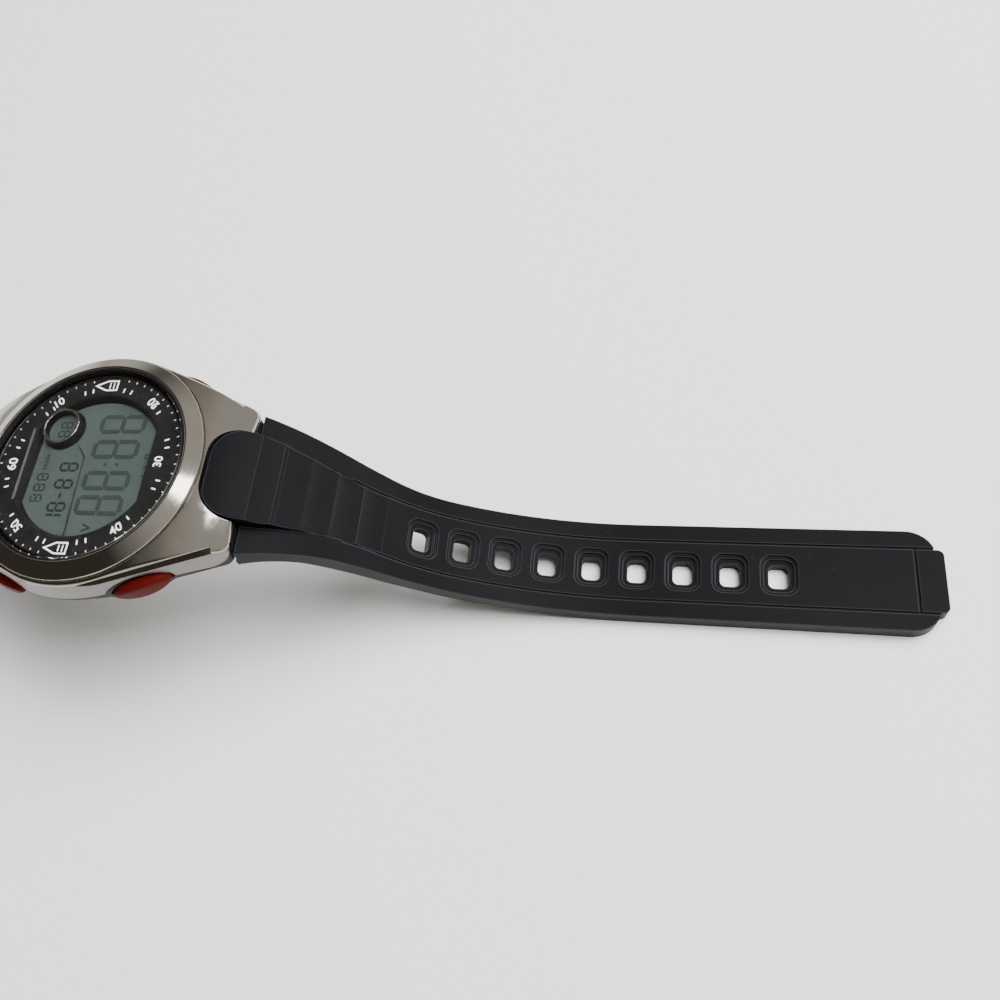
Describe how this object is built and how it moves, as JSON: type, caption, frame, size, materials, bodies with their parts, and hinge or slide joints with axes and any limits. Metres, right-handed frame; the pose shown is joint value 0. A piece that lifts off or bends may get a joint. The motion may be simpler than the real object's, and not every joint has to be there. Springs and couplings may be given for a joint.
{
  "type": "digital wristwatch",
  "caption": "Digital sports watch with a round bezel, polished metal top shell, red oval push buttons and a curved black resin strap with buckle and keepers.",
  "frame": {"origin": "centre of the case back's outer face", "axes": "+X towards 6 o'clock and the long strap half, +Y towards 3 o'clock, +Z out of the glass"},
  "size_m": [0.2298, 0.0426, 0.0372],
  "materials": {
    "plated_shell": "polished gunmetal plating",
    "polished_steel": "polished",
    "brushed_steel": "brushed",
    "black_resin": "matte moulded resin",
    "strap_resin": "matte polyurethane",
    "red_plastic": "glossy translucent red",
    "crystal_glass": "clear",
    "seal_rubber": "matte",
    "dial_black": "satin black",
    "lcd_glass": "grey-green reflective",
    "lcd_ink": "dark",
    "white_plastic": "moulded",
    "board_green": "solder resist",
    "chip_black": "moulded",
    "contact_brass": "plated",
    "zebra_rubber": "matte"
  },
  "bodies": {
    "case": {"case_shell": "plated_shell", "inner_case": "black_resin", "bezel_ring": "plated_shell", "crystal": "crystal_glass", "crystal_gasket": "seal_rubber", "dial_ring": "dial_black", "seconds_rim": "polished_steel", "lcd_panel": "lcd_glass", "lcd_segments": "lcd_ink", "backlight_panel": "white_plastic", "zebra_connectors": "zebra_rubber", "lcd_holder": "white_plastic", "circuit_board": "board_green", "timer_chip": "chip_black", "quartz_can": "polished_steel", "button_contacts": "contact_brass", "coin_cell": "polished_steel", "battery_clip": "brushed_steel", "battery_holder": "white_plastic", "piezo_disc": "contact_brass", "piezo_spring": "contact_brass", "case_back": "brushed_steel", "case_back_screws": "polished_steel", "case_back_seal": "seal_rubber", "button_orings": "seal_rubber", "button_return_springs": "brushed_steel", "lug_spring_bars": "brushed_steel"},
    "button_2": {"button_cap_2": "red_plastic", "button_stem_2": "brushed_steel", "button_clip_2": "brushed_steel"},
    "button_4": {"button_cap_4": "red_plastic", "button_stem_4": "brushed_steel", "button_clip_4": "brushed_steel"},
    "button_8": {"button_cap_8": "red_plastic", "button_stem_8": "brushed_steel", "button_clip_8": "brushed_steel"},
    "button_10": {"button_cap_10": "red_plastic", "button_stem_10": "brushed_steel", "button_clip_10": "brushed_steel"},
    "long_strap": {"long_strap": "strap_resin"},
    "short_strap": {"short_strap": "strap_resin", "buckle_bar": "brushed_steel"},
    "free_keeper": {"free_keeper": "strap_resin"},
    "buckle_frame": {"buckle_frame": "polished_steel"},
    "buckle_prong": {"buckle_prong": "polished_steel"}
  },
  "joints": [
    {"name": "button_2_push", "type": "slide", "parent": "case", "child": "button_2", "axis": [0.383, -0.9237, 0], "range_m": [0, 0.00085], "stiffness_N_per_m": 1500, "springref_m": -0.0006},
    {"name": "button_4_push", "type": "slide", "parent": "case", "child": "button_4", "axis": [-0.383, -0.9237, 0], "range_m": [0, 0.00085], "stiffness_N_per_m": 1500, "springref_m": -0.0006},
    {"name": "button_8_push", "type": "slide", "parent": "case", "child": "button_8", "axis": [-0.383, 0.9237, 0], "range_m": [0, 0.00085], "stiffness_N_per_m": 1500, "springref_m": -0.0006},
    {"name": "button_10_push", "type": "slide", "parent": "case", "child": "button_10", "axis": [0.383, 0.9237, 0], "range_m": [0, 0.00085], "stiffness_N_per_m": 1500, "springref_m": -0.0006},
    {"name": "long_strap_hinge", "type": "hinge", "parent": "case", "child": "long_strap", "pos_m": [0.0243, 0, 0.0045], "axis": [0, 1, 0], "range_deg": [0, 55]},
    {"name": "short_strap_hinge", "type": "hinge", "parent": "case", "child": "short_strap", "pos_m": [-0.0243, 0, 0.0045], "axis": [0, -1, 0], "range_deg": [0, 55]},
    {"name": "keeper_slide", "type": "slide", "parent": "short_strap", "child": "free_keeper", "axis": [-1, 0, 0], "range_m": [-0.003, 0.0034]},
    {"name": "buckle_hinge", "type": "hinge", "parent": "short_strap", "child": "buckle_frame", "pos_m": [-0.09074, 0, -0.02202], "axis": [0, 1, 0], "range_deg": [-25, 60]},
    {"name": "prong_hinge", "type": "hinge", "parent": "buckle_frame", "child": "buckle_prong", "pos_m": [-0.09074, 0, -0.02202], "axis": [0, 1, 0], "range_deg": [0, 45]}
  ]
}
